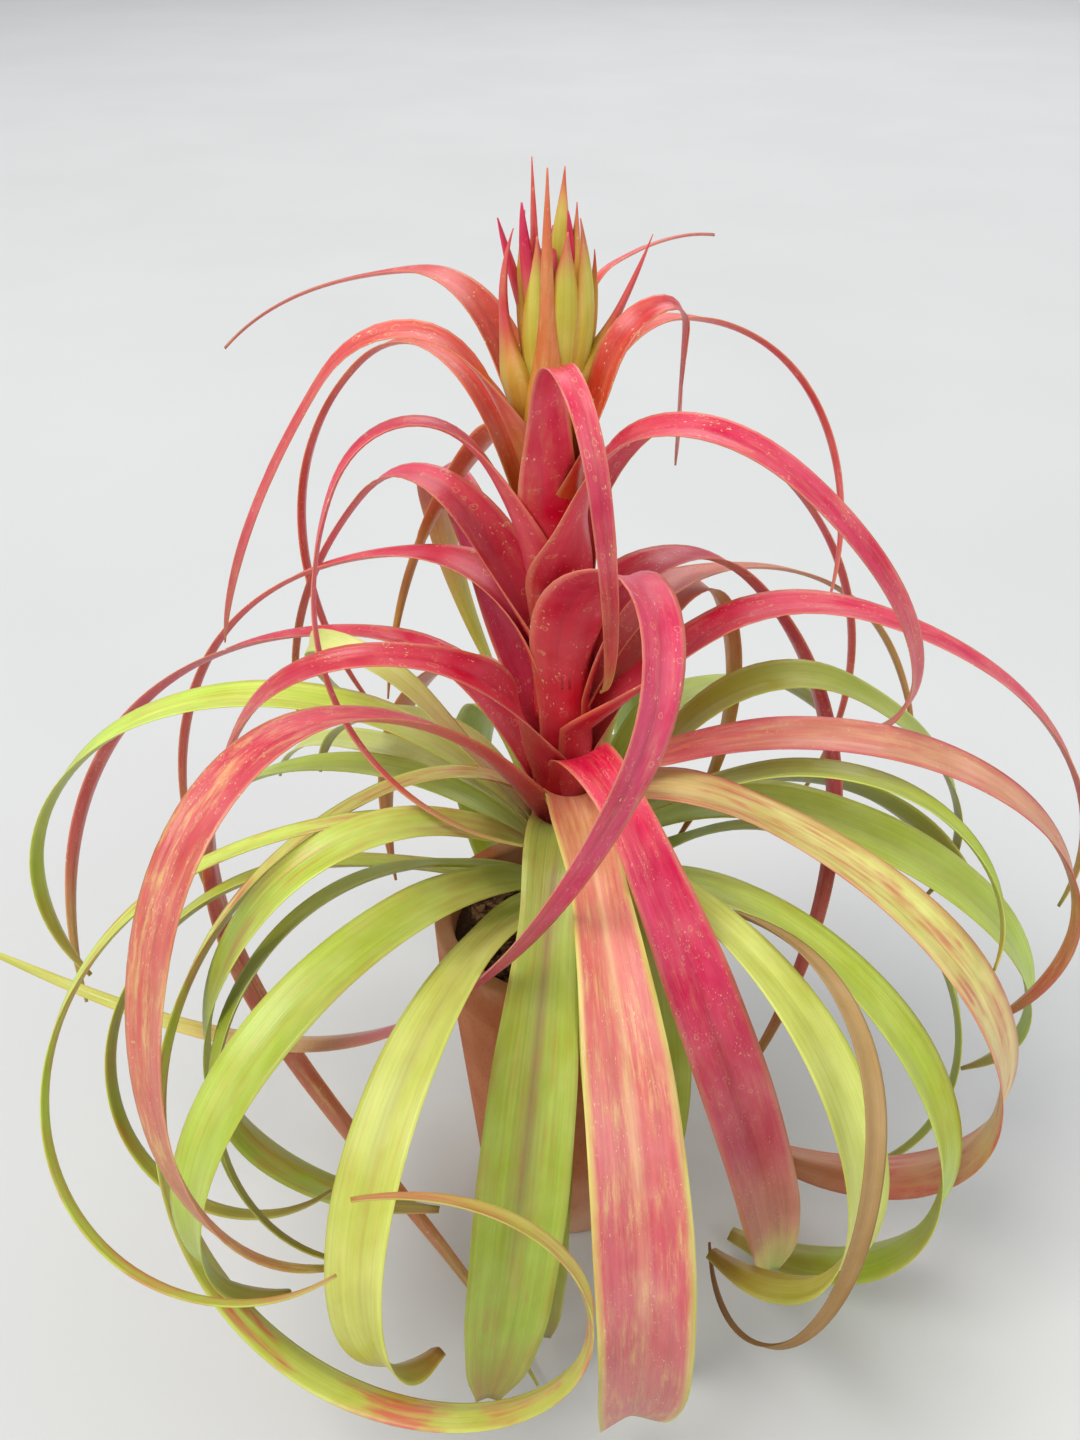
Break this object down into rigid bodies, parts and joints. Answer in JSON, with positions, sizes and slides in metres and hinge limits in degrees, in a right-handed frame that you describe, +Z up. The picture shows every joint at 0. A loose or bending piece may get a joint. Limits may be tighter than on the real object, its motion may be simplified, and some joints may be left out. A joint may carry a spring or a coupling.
{
  "type": "potted air plant in flower",
  "caption": "Flowering air plant in a plain round pot: a rosette of arching, under-curled strap leaves below a tall spike of red leaves with a tight spear-shaped head. Rests on its flat foot.",
  "frame": {"origin": "Centre of the flat foot of the pot.", "axes": "+Z up along the axis of the pot; -Y toward the front of the plant, the side that the picture shows; +X toward its right side as seen from the front."},
  "size_m": [0.406, 0.318, 0.388],
  "materials": {
    "pot": "matt unglazed terracotta",
    "potting_mix": "rough bark chips and fines",
    "stem": "satin, crimson, wrapped by leaf bases",
    "flower_head": "satin, yellow-green bracts with pink tips",
    "leaf_green": "satin, yellow-green with fine lengthwise striations",
    "leaf_yellow": "satin, light yellow-green",
    "leaf_olive": "satin, deeper olive green",
    "leaf_pale": "satin, pale grey-green",
    "leaf_peach": "satin, yellow-green flushed peach",
    "leaf_coral": "satin, coral with pale scale specks",
    "leaf_red": "satin, crimson with pale scale specks",
    "leaf_pink": "satin, magenta-pink with cream streaks",
    "leaf_dry": "matt, dried tan"
  },
  "bodies": {
    "root": {"pot": "pot", "potting_mix": "potting_mix", "stem": "stem", "rosette_leaf_01": "leaf_green", "rosette_leaf_02": "leaf_green", "rosette_leaf_03": "leaf_olive", "rosette_leaf_04": "leaf_green", "dried_leaf": "leaf_dry", "rosette_leaf_06": "leaf_olive", "rosette_leaf_07": "leaf_olive", "rosette_leaf_08": "leaf_pale", "rosette_leaf_09": "leaf_green", "rosette_leaf_10": "leaf_yellow", "rosette_leaf_11": "leaf_olive", "rosette_leaf_12": "leaf_green", "rosette_leaf_13": "leaf_green", "rosette_leaf_14": "leaf_green", "rosette_leaf_15": "leaf_green", "rosette_leaf_16": "leaf_green", "rosette_leaf_17": "leaf_pale", "rosette_leaf_18": "leaf_green", "rosette_leaf_19": "leaf_red", "rosette_leaf_20": "leaf_olive", "rosette_leaf_21": "leaf_pale", "rosette_leaf_22": "leaf_green", "rosette_leaf_23": "leaf_peach", "rosette_leaf_24": "leaf_yellow", "rosette_leaf_25": "leaf_green", "rosette_leaf_26": "leaf_peach", "rosette_leaf_27": "leaf_red", "rosette_leaf_28": "leaf_pink", "rosette_leaf_29": "leaf_red", "rosette_leaf_30": "leaf_red", "rosette_leaf_31": "leaf_yellow", "rosette_leaf_32": "leaf_olive", "rosette_leaf_33": "leaf_olive", "rosette_leaf_34": "leaf_green", "rosette_leaf_35": "leaf_green", "rosette_leaf_36": "leaf_green", "rosette_leaf_37": "leaf_peach", "spike_leaf_01": "leaf_peach", "spike_leaf_02": "leaf_pink", "spike_leaf_03": "leaf_red", "spike_leaf_04": "leaf_peach", "spike_leaf_05": "leaf_red", "spike_leaf_06": "leaf_red", "spike_leaf_07": "leaf_pink", "spike_leaf_08": "leaf_red", "spike_leaf_09": "leaf_red", "spike_leaf_10": "leaf_red", "spike_leaf_11": "leaf_red", "spike_leaf_12": "leaf_red", "spike_leaf_13": "leaf_coral", "spike_leaf_14": "leaf_peach", "spike_leaf_15": "leaf_coral", "spike_leaf_16": "leaf_coral", "spike_leaf_17": "leaf_coral", "spike_leaf_18": "leaf_coral", "flower_head": "flower_head"}
  },
  "joints": []
}
